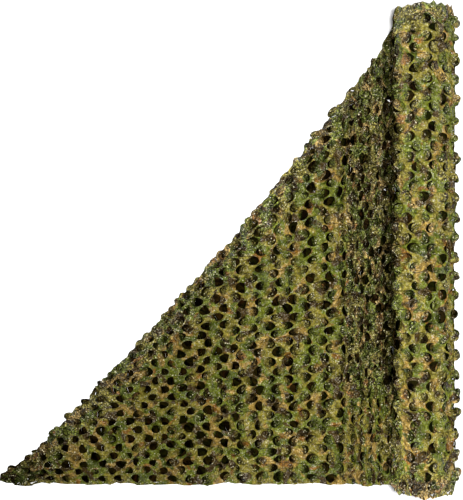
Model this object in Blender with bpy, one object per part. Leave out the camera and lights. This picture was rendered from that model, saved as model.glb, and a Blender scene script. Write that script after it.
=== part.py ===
"""Camouflage netting, partly wound on a roll and partly laid out, at real size in metres, +Z up.

A net cloth 1.5 m wide is wound on itself and lies on its side, with the roll's axis along Y.
Its loose end leaves from under the roll towards -X and lies on the surface. It is turned under
along a slanting fold, so that it is a triangle of two layers joined at the fold.
The shapes are built round the roll's axis, and an empty then sets the box's bottom centre on
the origin.
"""

import math
from typing import NamedTuple

import bmesh
import bpy
from mathutils import Vector
from mathutils.geometry import delaunay_2d_cdt

# Driving dimensions
NET_WIDTH = 1.50
NET_HALF = NET_WIDTH / 2

# The roll
ROLL_RADIUS = 0.112        # of the outer turn, where it lifts off the surface
AXIS_HEIGHT = 0.106        # less than the radius, so that the roll has a flat spot
LIFT_OFF_X = -0.048        # where the outer turn leaves the roll to become the loose end
TURN_THICKNESS = 0.012     # one turn of puffed net
TURNS = 8
TURN_STEPS = 36            # points round one turn
BODY_STATIONS = 16         # rings along the roll, between its ends
END_LENGTH = 0.036         # of the rounded stretch at each end
END_RECESS = 0.012         # how far the outer turn stands back from the roll's end
END_WANDER = 0.0035        # unevenness between one turn's edge and the next
END_SWELL = 0.0020         # unevenness along one turn's edge
TURN_GROOVE = 0.007        # depth of the groove between two turns, seen on the end
CORE_RECESS = 0.016        # how far the middle of the end stands back
LUMP = 0.0030              # unevenness of the outer turn
FLAT_TURN = 0.20           # share of the outer turn that stays true, so that the roll rests flat
LIFT_OFF_TURN = 0.94       # share of the outer turn where it is true again, over the lift-off

# The loose end
SHEET = 0.003              # thickness of one layer
ROLL_GAP = 0.0003          # kept to the roll
UNDER_SETBACK = 0.006      # how much further from the roll the under layer stops
TIP_X = -1.346             # far corner
TIP_RISE = 0.008           # of the far corner, inside the lower edge
FOLD_END_Y = NET_HALF - 0.008
FOLD_BOW = 0.046           # how far the turned edge bows in from a straight line
FOLD_RIPPLE = 0.0025       # unevenness of the turned edge
FOLD_STEPS = 52
BEND_STEPS = 4             # facets round the turned edge
LAYER_RISE = 0.010         # between the middles of the two layers at the turned edge
EDGE_Y = -NET_HALF + 0.006
EDGE_RIPPLE = 0.003
EDGE_WAVE_TOP = 21.0       # waves of the lower edge, in radians a metre
EDGE_WAVE_UNDER = 17.0
EDGE_STEPS = 34
SIDE_STEPS = 30

# Relief of the upper layer
TOP_LOFT = 0.012           # how much it puffs up inside its edges
LOFT_REACH = 0.05          # how far from an edge the full loft begins
ROLL_CLEAR_X = -0.088      # nearer the roll than this, it lies low under the roll's side
EDGE_DROP = 0.003
EDGE_DROP_REACH = 0.04
RIPPLE = 0.0022

# The net's pattern
HOLE_RADIUS = 0.0135
HOLE_SIDES = 6
PATTERN_PITCH_X = 0.057    # of the repeat, which has a hole at its corner and one at its middle
PATTERN_PITCH_Y = 0.056
PATTERN_X = -0.098         # the column of holes nearest the roll
PATTERN_Y = -0.006
COLUMNS = range(-50, 1)    # half repeats, counted from the roll
ROWS = range(-28, 29)
CUT_EVERY = 2              # holes are cut at twice the real pitch
HOLE_MARGIN = 0.026        # from a hole's centre to an edge

CLOTH_COLOUR = (0.20, 0.19, 0.06, 1.0)
CLOTH_ROUGHNESS = 0.62
ROLL_SHARP_ANGLE = math.radians(50)
LOOSE_END_SHARP_ANGLE = math.radians(35)


class Fold(NamedTuple):
    """A soft ridge of the upper layer, from (x0, y0) to (x1, y1)."""

    name: str
    x0: float
    y0: float
    x1: float
    y1: float
    height: float
    half_width: float


FOLDS = (
    Fold("beside_roll", -0.262, 0.38, -0.255, -0.64, 0.026, 0.034),
    Fold("gather_outer", -0.205, 0.46, -0.198, -0.52, 0.013, 0.015),
    Fold("gather_inner", -0.158, 0.54, -0.152, -0.62, 0.011, 0.014),
    Fold("puffed_edge_high", -0.20, 0.48, -0.66, -0.06, 0.013, 0.030),
    Fold("puffed_edge_low", -0.70, -0.10, -1.18, -0.63, 0.014, 0.028),
    Fold("middle_near", -0.40, 0.16, -0.45, -0.66, 0.012, 0.040),
    Fold("middle_far", -0.58, 0.00, -0.63, -0.70, 0.010, 0.036),
    Fold("low_slant", -0.80, -0.26, -0.90, -0.70, 0.011, 0.036),
    Fold("toe", -1.03, -0.50, -1.20, -0.72, 0.010, 0.028),
    Fold("cross_low", -0.34, -0.56, -0.78, -0.60, 0.009, 0.026),
)


def smooth_step(value):
    """0 below 0, 1 above 1, and smooth between."""
    value = min(1.0, max(0.0, value))
    return value * value * (3 - 2 * value)


# ---- the loose end ----

def fold_chord():
    """Ends of the straight line under the turned edge: beside the roll, and the far corner."""
    start = Vector((LIFT_OFF_X - ROLL_GAP, FOLD_END_Y))
    return start, Vector((TIP_X, EDGE_Y + TIP_RISE))


def bow_at(share):
    return 4 * FOLD_BOW * share * (1 - share)


def fold_point(share):
    """A point of the turned edge: share 0 is beside the roll, 1 is the far corner."""
    start, end = fold_chord()
    chord = end - start
    inwards = Vector((-chord.y, chord.x)).normalized()
    wave = math.sin(37 * share) + math.sin(61 * share + 1.0)
    uneven = FOLD_RIPPLE * wave * math.sin(math.pi * share)
    return start + chord * share + inwards * (bow_at(share) + uneven)


def fold_outwards(share):
    """Unit vector in plan that points away from the cloth at the turned edge."""
    step = 1e-4
    along = fold_point(share + step) - fold_point(share - step)
    return Vector((along.y, -along.x, 0)).normalized()


def ridge(fold, point):
    """How much one fold lifts the upper layer at a point in plan."""
    start = Vector((fold.x0, fold.y0))
    along = Vector((fold.x1, fold.y1)) - start
    share = (point - start).dot(along) / along.length_squared
    nearest = start + along * min(1.0, max(0.0, share))
    distance = (point - nearest).length
    return fold.height * math.exp(-((distance / fold.half_width) ** 2))


def edge_distances(point):
    """Roughly how far a point in plan is inside the turned edge and inside the lower edge."""
    start, end = fold_chord()
    along = (end - start).normalized()
    offset = point - start
    share = offset.dot(along) / (end - start).length
    to_fold = along.x * offset.y - along.y * offset.x - bow_at(share)
    return to_fold, point.y - EDGE_Y


def top_height(point):
    """Height of the middle of the upper layer at a point in plan."""
    to_fold, to_edge = edge_distances(point)
    x, y = point
    from_roll = smooth_step((ROLL_CLEAR_X - x) / LOFT_REACH)
    inside = from_roll * smooth_step(to_fold / LOFT_REACH) * smooth_step(to_edge / LOFT_REACH + 0.2)
    ripple = RIPPLE * math.sin(31 * x + 9 * y) * math.sin(24 * y - 11 * x)
    relief = TOP_LOFT + ripple + sum(ridge(fold, point) for fold in FOLDS)
    drop = EDGE_DROP * (1 - smooth_step(to_edge / EDGE_DROP_REACH))
    return SHEET / 2 + LAYER_RISE + relief * inside - drop * smooth_step(to_fold / LOFT_REACH)


def layer_outline(near_x, wave):
    """Outline of one layer in plan: the turned edge first, then the lower edge and the roll's side."""
    turned = [fold_point(k / FOLD_STEPS) for k in range(FOLD_STEPS + 1)]
    lower = []
    for k in range(1, EDGE_STEPS + 1):
        share = k / EDGE_STEPS
        x = turned[-1].x + (near_x - turned[-1].x) * share
        ripple = EDGE_RIPPLE * math.sin(wave * x) * math.sin(math.pi * min(0.5, 1.5 * share))
        lower.append(Vector((x, EDGE_Y + ripple)))
    side = [lower[-1].lerp(turned[0], k / SIDE_STEPS) for k in range(1, SIDE_STEPS)]
    return turned + lower + side


def inside_outline(point, outline):
    """Even-odd test of a point against a closed outline."""
    inside = False
    for a, b in zip(outline, outline[1:] + outline[:1]):
        if (a.y > point.y) != (b.y > point.y):
            if point.x < a.x + (b.x - a.x) * (point.y - a.y) / (b.y - a.y):
                inside = not inside
    return inside


def clear_of_edges(point, outline):
    near = any((point - corner).length < HOLE_MARGIN for corner in outline)
    return not near and inside_outline(point, outline)


def pattern_points(outline):
    """Places of the net's holes inside an outline: those that are cut, and the others."""
    cut, uncut = [], []
    wide = 2 * CUT_EVERY
    for column in COLUMNS:
        for row in ROWS:
            x = PATTERN_X + column * PATTERN_PITCH_X / 2
            y = PATTERN_Y + row * PATTERN_PITCH_Y / 2
            point = Vector((x, y))
            if (column + row) % 2 or not clear_of_edges(point, outline):
                continue
            is_cut = column % CUT_EVERY == 0 and row % wide == column % wide
            (cut if is_cut else uncut).append(point)
    return cut, uncut


def hole_ring(centre):
    turn = 2 * math.pi / HOLE_SIDES
    return [
        centre + HOLE_RADIUS * Vector((math.cos(turn * k), math.sin(turn * k)))
        for k in range(HOLE_SIDES)
    ]


def loop_edges(first, count):
    return [(first + k, first + (k + 1) % count) for k in range(count)]


def cut_layer(outline, with_relief):
    """Points and triangles of one layer, its holes left out. The outline's points come first."""
    cut, uncut = pattern_points(outline)
    points = list(outline)
    edges = loop_edges(0, len(outline))
    for centre in cut:
        edges += loop_edges(len(points), HOLE_SIDES)
        points += hole_ring(centre)
    if with_relief:
        points += uncut
    made, _, faces, sources, _, _ = delaunay_2d_cdt(points, edges, [], 0, 1e-6)
    apothem = HOLE_RADIUS * math.cos(math.pi / HOLE_SIDES)
    kept = []
    for face in faces:
        middle = sum((made[k] for k in face), Vector((0, 0))) / 3
        in_hole = any((middle - centre).length < apothem for centre in cut)
        if not in_hole and inside_outline(middle, outline):
            kept.append(face)
    made_from = {source: k for k, found in enumerate(sources) for source in found}
    order = [made_from[k] for k in range(len(outline))]
    order += sorted({k for face in kept for k in face} - set(order))
    place = {old: new for new, old in enumerate(order)}
    return [made[k] for k in order], [[place[k] for k in face] for face in kept]


def facing(points, face, upwards):
    """The face, wound so that it looks up or down."""
    a, b, c = (points[k] for k in face)
    return face if ((b - a).cross(c - a).z > 0) == upwards else face[::-1]


def bend_faces(points, outwards, under_first):
    """Adds the turned edge's bend, from the upper layer's first points to the under layer's."""
    faces = []
    above = list(range(FOLD_STEPS + 1))
    for step in range(1, BEND_STEPS + 1):
        angle = math.pi * step / BEND_STEPS
        row = [under_first + k for k in range(FOLD_STEPS + 1)]
        if step < BEND_STEPS:
            row = [len(points) + k for k in range(FOLD_STEPS + 1)]
            for k in range(FOLD_STEPS + 1):
                high, low = points[k], points[under_first + k]
                away = fold_outwards(k / FOLD_STEPS)
                direction = away * math.sin(angle) + Vector((0, 0, math.cos(angle)))
                points.append((high + low) / 2 + direction * (high.z - low.z) / 2)
                outwards.append(direction)
        for k in range(FOLD_STEPS):
            faces.append([above[k + 1], above[k], row[k], row[k + 1]])
        above = row
    return faces


def thicken(points, outwards, faces):
    """A closed solid from a surface: its points moved both ways along outwards, and its rims walled."""
    count = len(points)
    outer = [p + o * (SHEET / 2) for p, o in zip(points, outwards)]
    inner = [p - o * (SHEET / 2) for p, o in zip(points, outwards)]
    rims = set()
    for face in faces:
        for a, b in zip(face, face[1:] + face[:1]):
            if (b, a) in rims:
                rims.remove((b, a))
            else:
                rims.add((a, b))
    walls = [(b, a, a + count, b + count) for a, b in sorted(rims)]
    backs = [[k + count for k in reversed(face)] for face in faces]
    return outer + inner, [*faces, *backs, *walls]


def build_loose_end():
    """Two layers of net, one over the other, joined round the turned edge."""
    near_x = LIFT_OFF_X - ROLL_GAP
    top_plan, top_faces = cut_layer(layer_outline(near_x, EDGE_WAVE_TOP), True)
    under_outline = layer_outline(near_x - UNDER_SETBACK, EDGE_WAVE_UNDER)
    under_plan, under_faces = cut_layer(under_outline, False)
    points = [Vector((*plan, top_height(plan))) for plan in top_plan]
    outwards = [Vector((0, 0, 1))] * len(top_plan)
    faces = [facing(points, face, True) for face in top_faces]
    first = len(points)
    points += [Vector((*plan, SHEET / 2)) for plan in under_plan]
    outwards += [Vector((0, 0, -1))] * len(under_plan)
    faces += [facing(points, [k + first for k in face], False) for face in under_faces]
    faces += bend_faces(points, outwards, first)
    return thicken(points, outwards, faces)


# ---- the roll ----

def lump(angle, y, turn):
    """Unevenness of the outer turn, none where the roll rests and where the loose end lifts off."""
    free = smooth_step((turn - FLAT_TURN) / 0.12) * smooth_step((LIFT_OFF_TURN - turn) / 0.10)
    wave = math.sin(2 * angle + 7 * y) + math.sin(5 * angle - 13 * y) * math.cos(9 * y)
    return LUMP / 2 * free * wave


def turn_point(turn, y, sink=0.0):
    """A point of the wound cloth, so many turns in from the lift-off, at y along the roll."""
    lift_off = math.atan2(-math.sqrt(ROLL_RADIUS**2 - LIFT_OFF_X**2), LIFT_OFF_X)
    angle = lift_off + 2 * math.pi * turn
    radius = ROLL_RADIUS - TURN_THICKNESS * turn - sink
    if turn <= 1:
        radius += lump(angle, y, turn)
    height = AXIS_HEIGHT + radius * math.sin(angle)
    return Vector((radius * math.cos(angle), y, max(0.0, height)))


def end_y(side, turn, groove):
    """Where a turn's edge lies along Y. The outer turn stands back, and no two turns are level."""
    recess = END_RECESS * (1 - smooth_step(turn / 1.6))
    wander = END_WANDER * (0.5 + 0.5 * math.sin(4.1 * turn + side)) * smooth_step(turn - 0.4)
    swell = END_SWELL * (0.5 + 0.5 * math.sin(6 * math.pi * turn + 2 * side))
    return side * (NET_HALF - recess - wander - swell - groove)


def roll_body(points, faces):
    """The outer turn from end to end. Returns the index of the first point of each end's ring."""
    turns = [k / TURN_STEPS for k in range(TURN_STEPS + 1)]
    reach = NET_HALF - END_LENGTH
    stations = [2 * reach * k / (BODY_STATIONS - 1) - reach for k in range(BODY_STATIONS)]
    points += [turn_point(turn, end_y(-1, turn, TURN_GROOVE)) for turn in turns]
    for y in stations:
        points += [turn_point(turn, y) for turn in turns]
    last = len(points)
    points += [turn_point(turn, end_y(1, turn, TURN_GROOVE)) for turn in turns]
    width = len(turns)
    for j in range(BODY_STATIONS + 1):
        for k in range(width):
            a, b = j * width + k, j * width + (k + 1) % width
            faces.append([a, b, b + width, a + width])
    return 0, last


def roll_end(points, faces, side, first):
    """One end of the roll: a ridge for each turn and a groove between turns, wound to the middle."""
    inner_count = (TURNS - 1) * TURN_STEPS
    groove = list(range(first, first + TURN_STEPS + 1))
    for k in range(TURN_STEPS + 1, TURNS * TURN_STEPS + 1):
        turn = k / TURN_STEPS
        groove.append(len(points))
        points.append(turn_point(turn, end_y(side, turn, TURN_GROOVE)))
    crest = []
    for k in range(inner_count + 1):
        turn = k / TURN_STEPS
        crest.append(len(points))
        points.append(turn_point(turn, end_y(side, turn, 0.0), TURN_THICKNESS / 2))
    for k in range(inner_count):
        within = groove[k + TURN_STEPS], groove[k + 1 + TURN_STEPS]
        faces.append([groove[k], groove[k + 1], crest[k + 1], crest[k]])
        faces.append([crest[k], crest[k + 1], within[1], within[0]])
    faces.append([groove[0], crest[0], groove[TURN_STEPS]])
    middle = len(points)
    points.append(Vector((0, side * (NET_HALF - CORE_RECESS), AXIS_HEIGHT)))
    core = [*groove[inner_count:], crest[inner_count]]
    faces += [[a, b, middle] for a, b in zip(core, core[1:] + core[:1])]


def build_roll():
    """The wound net as one solid: its outer turn, the step at the lift-off, and both ends."""
    points, faces = [], []
    near, far = roll_body(points, faces)
    roll_end(points, faces, -1, near)
    roll_end(points, faces, 1, far)
    return points, faces


# ---- objects ----

def cloth_material():
    material = bpy.data.materials.new("printed_net_cloth")
    material.use_nodes = True
    shader = material.node_tree.nodes["Principled BSDF"]
    shader.inputs["Base Color"].default_value = CLOTH_COLOUR
    shader.inputs["Roughness"].default_value = CLOTH_ROUGHNESS
    shader.inputs["Metallic"].default_value = 0.0
    return material


def add_object(name, shape, material, parent, sharp_angle):
    """A mesh object under the frame's empty, with its faces turned outwards."""
    points, faces = shape
    mesh = bpy.data.meshes.new(name)
    mesh.from_pydata(points, [], faces)
    work = bmesh.new()
    work.from_mesh(mesh)
    bmesh.ops.recalc_face_normals(work, faces=work.faces)
    work.to_mesh(mesh)
    work.free()
    mesh.shade_smooth()
    mesh.set_sharp_from_angle(angle=sharp_angle)
    mesh.materials.append(material)
    thing = bpy.data.objects.new(name, mesh)
    thing.parent = parent
    bpy.context.scene.collection.objects.link(thing)
    return thing


def rest_on_origin(frame, things):
    """Moves the frame so that the box round all the things has its bottom centre on the origin."""
    corners = [vertex.co for thing in things for vertex in thing.data.vertices]
    middle = [(min(p[i] for p in corners) + max(p[i] for p in corners)) / 2 for i in (0, 1)]
    frame.location = (-middle[0], -middle[1], -min(p.z for p in corners))


def main():
    for thing in list(bpy.data.objects):
        bpy.data.objects.remove(thing)
    frame = bpy.data.objects.new("net_frame", None)
    bpy.context.scene.collection.objects.link(frame)
    cloth = cloth_material()
    roll = add_object("rolled_net", build_roll(), cloth, frame, ROLL_SHARP_ANGLE)
    loose = add_object("loose_end", build_loose_end(), cloth, frame, LOOSE_END_SHARP_ANGLE)
    rest_on_origin(frame, (roll, loose))


main()
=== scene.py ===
"""Looks of the camouflage netting: one length of leaf-cut net, wound on a roll and laid out.

The net is made flat, as a lattice of cells with a round tongue cut in each, and every point is
then carried onto the surface that the cloth follows: the wound turns of the roll, or the loose
end, which is turned under along a slanting fold. Sizes are in metres.
"""

import math
from typing import NamedTuple

import bpy
import numpy as np
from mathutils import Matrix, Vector


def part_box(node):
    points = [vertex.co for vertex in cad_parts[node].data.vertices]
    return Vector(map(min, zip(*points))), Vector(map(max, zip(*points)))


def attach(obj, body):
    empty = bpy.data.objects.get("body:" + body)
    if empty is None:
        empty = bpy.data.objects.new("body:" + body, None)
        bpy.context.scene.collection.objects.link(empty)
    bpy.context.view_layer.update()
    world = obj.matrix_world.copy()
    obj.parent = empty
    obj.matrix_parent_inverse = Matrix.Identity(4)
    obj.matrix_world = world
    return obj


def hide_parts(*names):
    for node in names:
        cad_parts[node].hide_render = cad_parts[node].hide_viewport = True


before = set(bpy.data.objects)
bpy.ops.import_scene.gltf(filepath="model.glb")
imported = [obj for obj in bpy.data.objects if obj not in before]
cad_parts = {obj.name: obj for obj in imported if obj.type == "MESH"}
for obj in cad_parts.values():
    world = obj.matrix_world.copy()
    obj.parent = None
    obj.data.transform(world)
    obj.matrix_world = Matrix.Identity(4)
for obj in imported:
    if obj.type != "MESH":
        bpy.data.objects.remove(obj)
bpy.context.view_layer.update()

# ---- the cloth as cut ----
NET_WIDTH = 1.50
COLUMN_PITCH = 0.0288  # along the net, between columns of tongues
ROW_PITCH = 0.0610  # across the net, between tongues of a column
FIRST_ROW = 0.021  # from the net's edge to the middles of its first tongues
TONGUE_RADIUS = 0.0168
HOLE_STRETCH = 1.27  # how much further than its tongue a hole reaches, as the net is pulled
SLIT_HALF = 0.0009  # half the gap between the two tongues that share a cut
SIDES = 5, 5, 4, 6  # segments of a cell's sides, anticlockwise from its +u corner
HINGE_SEGMENTS = 3  # of the tongue's circle left uncut, each way from its middle
HINGE_ANGLE = math.radians(60)

# ---- the roll, in its own frame with the axis at x = 0 ----
AXIS_HEIGHT = 0.106
LIFT_OFF_X = -0.048  # where the solid's loose end leaves its roll
ROLL_GAP = 0.0003  # between the two solids there
ROLL_RADIUS = 0.0990  # of the outer turn's cloth, under its raised tongues
TURN_THICKNESS = 0.0066
TURNS = 12
LEAVES_AT = math.radians(200)  # where the cloth leaves the roll, on average
LEAVES_LOW = math.radians(222)  # where it is pulled in under the roll
LEAVES_HIGH = math.radians(178)  # where it comes level up to the roll's side
LEVEL_FROM_V = 0.26  # across the net, where it begins to come level
LEVEL_OVER = 0.16  # and how much nearer the edge it is fully so

# ---- the loose end, in the roll's frame ----
NET_HALF = NET_WIDTH / 2
TIP_X = -1.346
TIP_RISE = 0.008  # of the fold's end above the near edge's line, in plan
ROLL_SIDE_X = -0.105  # the cloth with a lower x belongs to the loose end
JOIN_X = -0.120  # where the cloth drops into the crease beside the roll
HANG_LENGTH = 0.120  # of the cloth between there and the roll
FOLD_END_Y = NET_HALF - 0.008
FOLD_BOW = 0.046  # how far the fold bends in at its middle
BOW_AT_START = 0.74  # the share of that beside the roll, and how much it grows to the tip
BOW_GROWTH = 0.52
FOLD_INSET = 0.005  # of the fold inside the solid's edge, as its tongues stand out
BLUNT_TIP = 0.010  # how much further out the fold lies at its tip, where the net is bunched
HIGH_END = 0.008  # and beside the roll
EDGE_Y = -NET_HALF + 0.006
NEAR_EDGE_REACH = 0.05  # how far in from the near edge its wave is felt
LOBE_PITCH = 0.031  # along the fold, between its leaf-like bulges
LOBE_REACH = 0.012
CUT_LOBE = 0.0070  # how far the loose end's cut edge bulges between its tongues
ROLL_CUT_LOBE = 0.016
BEND_RADIUS = 0.0050  # of the fold
UNDER_HEIGHT = 0.0030
UNDER_STRETCH = 1.25  # how much wider the net lies past the fold
TOP_LOFT = 0.012  # of the upper layer over the under one, away from its edges
LOFT_REACH = 0.05  # how far in from its edges it has risen that much
ROLL_CLEAR_X = -0.088
RAMP_X = -0.270  # where the cloth begins to rise to the roll, at its near end
RAMP_Y = -0.430
RAMP_HEIGHT = 0.072

# ---- heights over the floor that the pieces keep to ----
FOLD_FLOOR = 0.0006
FLOOR_GAP = 0.0008
UNDER_TOP = 0.0055  # the highest that the under layer lies
OVER_UNDER = 0.0070  # the lowest that the upper layer lies over it

# ---- the unevenness of the cloth: height, size of its lumps, seed ----
WANDER_U = (0.0075, 0.10, 1), (0.0050, 0.042, 2)
WANDER_V = (0.0085, 0.12, 3), (0.0042, 0.045, 4)
FOLD_WANDER = (0.0040, 0.020, 16), (0.0030, 0.09, 17)
ROLL_RUMPLES = (0.0034, 0.085, 12), (0.0036, 0.036, 13), (0.0020, 0.018, 18)

# ---- how much darker the cloth is painted: painted shade in the crease, on the roll's steep sides, in holes and on tongues; darker at the tip and further from the roll ----
CREASE_PAINTED_SHADE = 0.62
STEEP_SIDE_PAINTED_SHADE = 0.72
DARKER_AT_TIP = 0.62
DARKER_LOW = 0.36
HOLE_PAINTED_SHADE = 0.76
HOLE_DEPTH = 0.011  # how far below the cloth a point gets the full painted shade
TONGUE_PAINTED_SHADE = 0.42
ROLL_TONGUE_PAINTED_SHADE = 0.18
FREE_EDGE_PAINTED_SHADE = 0.26

# Soft ridges of the upper layer: where each starts (x, y) and ends (x, y), height, half its width
FOLDS = (
    (-0.262, 0.38, -0.255, -0.64, 0.026, 0.034),  # beside the roll
    (-0.205, 0.46, -0.198, -0.52, 0.013, 0.015),  # gathers between that one and the roll
    (-0.158, 0.54, -0.152, -0.62, 0.011, 0.014),
    (-0.20, 0.48, -0.66, -0.06, 0.013, 0.030),  # puffed cloth along the fold
    (-0.70, -0.10, -1.18, -0.63, 0.014, 0.028),
    (-0.40, 0.16, -0.45, -0.66, 0.012, 0.040),  # in the middle
    (-0.58, 0.00, -0.63, -0.70, 0.010, 0.036),
    (-0.80, -0.26, -0.90, -0.70, 0.011, 0.036),  # lower, and at the tip
    (-1.03, -0.50, -1.20, -0.72, 0.010, 0.028),
    (-0.34, -0.56, -0.78, -0.60, 0.009, 0.026),  # across them, along the near edge
)
CREASE_RIDGE = (-0.138, 0.62, -0.138, -0.36, 0.020, 0.016)

# Where the loose end's net is pulled narrower: (distance from the far end, share of its width)
WIDTH_SHARES = ((0.0, 0.78), (0.32, 0.82), (0.64, 0.88), (0.96, 0.94), (1.20, 0.985))
# Where it is gathered: (distance from the far end, cloth for each metre of surface)
GATHERS = ((0.0, 1.03), (1.08, 1.03), (1.11, 2.10), (1.23, 2.10))


# ---- small maths on arrays ----

def smooth_step(value):
    value = np.clip(value, 0.0, 1.0)
    return value * value * (3 - 2 * value)


def rising(value, start, over):
    """0 up to the start, then a smooth slope up to 1."""
    return smooth_step((value - start) / over)


def falling(value, start, over):
    """1 up to the start, then a smooth slope down to 0."""
    return 1 - rising(value, start, over)


def stacked(*parts):
    """Points or vectors from their parts."""
    return np.stack(parts, axis=-1)


def hashed(ix, iy, seed):
    """A repeatable number from -1 to 1 for each pair of whole numbers."""
    h = (ix.astype(np.int64) * 374761393 + iy.astype(np.int64) * 668265263 + seed * 974634777)
    h &= 0xFFFFFFFF
    h = ((h ^ (h >> 13)) * 1274126177) & 0xFFFFFFFF
    h = ((h ^ (h >> 15)) * 2246822519) & 0xFFFFFFFF
    return ((h ^ (h >> 16)) & 0xFFFF) / 32767.5 - 1.0


def ripple(x, y, size, seed):
    """Smooth noise from -1 to 1 over a plane, with lumps of the given size."""
    gx, gy = x / size, y / size
    ix, iy = np.floor(gx), np.floor(gy)
    fx, fy = smooth_step(gx - ix), smooth_step(gy - iy)
    low = hashed(ix, iy, seed) * (1 - fx) + hashed(ix + 1, iy, seed) * fx
    high = hashed(ix, iy + 1, seed) * (1 - fx) + hashed(ix + 1, iy + 1, seed) * fx
    return low * (1 - fy) + high * fy


def rumples(x, y, layers):
    """Ripples added up, each given as its height, the size of its lumps and its seed."""
    return sum(height * ripple(x, y, size, seed) for height, size, seed in layers)


def read_table(rows, value):
    return np.interp(value, *zip(*rows))


# ---- the surface of the loose end ----

# The fold follows this line in plan, from beside the roll to the tip.
CHORD_START = np.array((LIFT_OFF_X - ROLL_GAP, FOLD_END_Y))
CHORD = np.array((TIP_X, EDGE_Y + TIP_RISE)) - CHORD_START
CHORD_LENGTH = float(np.hypot(*CHORD))
CHORD_ALONG = CHORD / CHORD_LENGTH
CHORD_INWARDS = np.array((-CHORD_ALONG[1], CHORD_ALONG[0]))


def along_fold(x, y):
    return (x - CHORD_START[0]) * CHORD_ALONG[0] + (y - CHORD_START[1]) * CHORD_ALONG[1]


def inside_fold(x, y):
    """How far points in plan lie inside the fold."""
    dx, dy = x - CHORD_START[0], y - CHORD_START[1]
    share = along_fold(x, y) / CHORD_LENGTH
    bow = 4 * FOLD_BOW * share * (1 - share) * (BOW_AT_START + BOW_GROWTH * share)
    out = BLUNT_TIP * rising(share, 0.93, 0.045) * (1 - 0.8 * rising(share, 0.975, 0.03))
    out = out + HIGH_END * falling(share, 0, 0.10)
    return CHORD_ALONG[0] * dy - CHORD_ALONG[1] * dx - bow - FOLD_INSET + out


def fold_lobes(x, y):
    """How far the leaf-like bulges along the fold reach out."""
    place = along_fold(x, y) / LOBE_PITCH + 0.35 * ripple(x, y, 0.08, 19)
    each = 0.55 + 0.45 * hashed(np.floor(place), 0 * place, 20)
    return LOBE_REACH * (each * np.abs(np.sin(math.pi * place)) ** 0.7 - 0.4)


def ridge(fold, x, y):
    x0, y0, x1, y1, height, half_width = fold
    ax, ay = x1 - x0, y1 - y0
    share = np.clip(((x - x0) * ax + (y - y0) * ay) / (ax * ax + ay * ay), 0, 1)
    distance = np.hypot(x - x0 - share * ax, y - y0 - share * ay)
    return height * np.exp(-((distance / half_width) ** 2))


def near_ramp(y):
    """1 at the end where the cloth slopes up to the roll, 0 where it runs in under it."""
    return smooth_step((RAMP_Y - y) / 0.12)


def top_height(x, y, to_fold):
    """Height of the upper layer's cloth over points in plan."""
    to_edge = y - EDGE_Y
    from_roll = smooth_step((ROLL_CLEAR_X - x) / LOFT_REACH)
    inside = from_roll * smooth_step(to_fold / LOFT_REACH) * smooth_step(to_edge / LOFT_REACH + 0.2)
    relief = TOP_LOFT + sum(ridge(fold, x, y) for fold in FOLDS)
    beside = ridge(CREASE_RIDGE, x, y) * smooth_step(to_fold / LOFT_REACH)
    ramp = RAMP_HEIGHT * smooth_step((x - RAMP_X) / (JOIN_X - RAMP_X)) * near_ramp(y)
    return UNDER_HEIGHT + 2 * BEND_RADIUS + relief * inside + beside + ramp


REACH = JOIN_X - TIP_X
REACH_STEPS = np.linspace(0, REACH, 400)
CLOTH_AT_REACH = np.concatenate(
    ([0], np.cumsum(np.diff(REACH_STEPS) * read_table(GATHERS, REACH_STEPS[1:])))
)
LOOSE_LENGTH = float(CLOTH_AT_REACH[-1])


def light_paint_factor(points):
    """How the cloth's colour is scaled: painted shade and painted light, and darker at the tip and
    away from the roll.
    """
    x, y, z = points.T
    # Painted shade in the crease beside the roll.
    in_crease = rising(x, -0.135, 0.03) * falling(z, 0.10, 0.06) * (x < 0)
    in_crease = in_crease * (1 - near_ramp(y - 0.04))
    # Darker at the tip and further from the roll.
    at_tip = falling(x - TIP_X, 0.02, 0.30)
    low = rising(-x, 0.45, 0.35)
    in_band = gathered(x, y) * (z < 0.09)
    on_roll = x > ROLL_SIDE_X
    radius = np.hypot(x, z - AXIS_HEIGHT)
    # Painted shade on the roll's steep sides.
    steep = rising(np.abs(x) / radius, 0.86, 0.10) * on_roll
    steep = steep * falling(radius, 0.1050, 0.007) * np.where(x > 0, 1, 0.5)
    steep = steep * falling(np.abs(y), 0.60, 0.06)
    # Painted light: crumpled loose cloth is painted lighter than open cloth, and the roll lighter
    # still, more so on its left side and near end.
    crumpled = 0.92 + 0.32 * crumple_amount(x, y, inside_fold(x, y))
    towards_loose = 0.20 * rising(-x, 0.03, 0.04) + 0.20 * rising(-y, 0.55, 0.10)
    shade = (1 - CREASE_PAINTED_SHADE * in_crease) * (1 + 0.02 * in_band)
    shade = shade * (1 - STEEP_SIDE_PAINTED_SHADE * steep)
    shade = shade * np.where(on_roll, 1.05 + towards_loose, crumpled)
    return shade * (1 - DARKER_AT_TIP * at_tip) * (1 - DARKER_LOW * low)


def gathered(x, y):
    """1 in the band beside the roll where the net is pushed together, 0 elsewhere."""
    return rising(x, -0.245, 0.02) * rising(y, -0.52, 0.12)


def crumple_amount(x, y, to_fold):
    """0 where the net lies open, 1 where it is crumpled: along the fold and beside the roll."""
    by_fold = 0.75 * falling(to_fold, 0.02, 0.10)
    far = rising(y, 0.30, 0.15)
    tip = falling(x - TIP_X, 0.10, 0.10)
    return np.clip(np.maximum.reduce([by_fold, gathered(x, y), far, tip]), 0, 1)


def creased(points):
    """1 where the cloth is finely creased, 0 where it lies smooth."""
    x, y, _ = points.T
    loose = crumple_amount(x, y, inside_fold(x, y))
    roll_end = rising(np.abs(y), 0.67, 0.05)
    roll_side = 0.8 * rising(np.abs(x), 0.070, 0.025)
    return np.where(x < ROLL_SIDE_X, loose, np.maximum(roll_end, roll_side))


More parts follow.
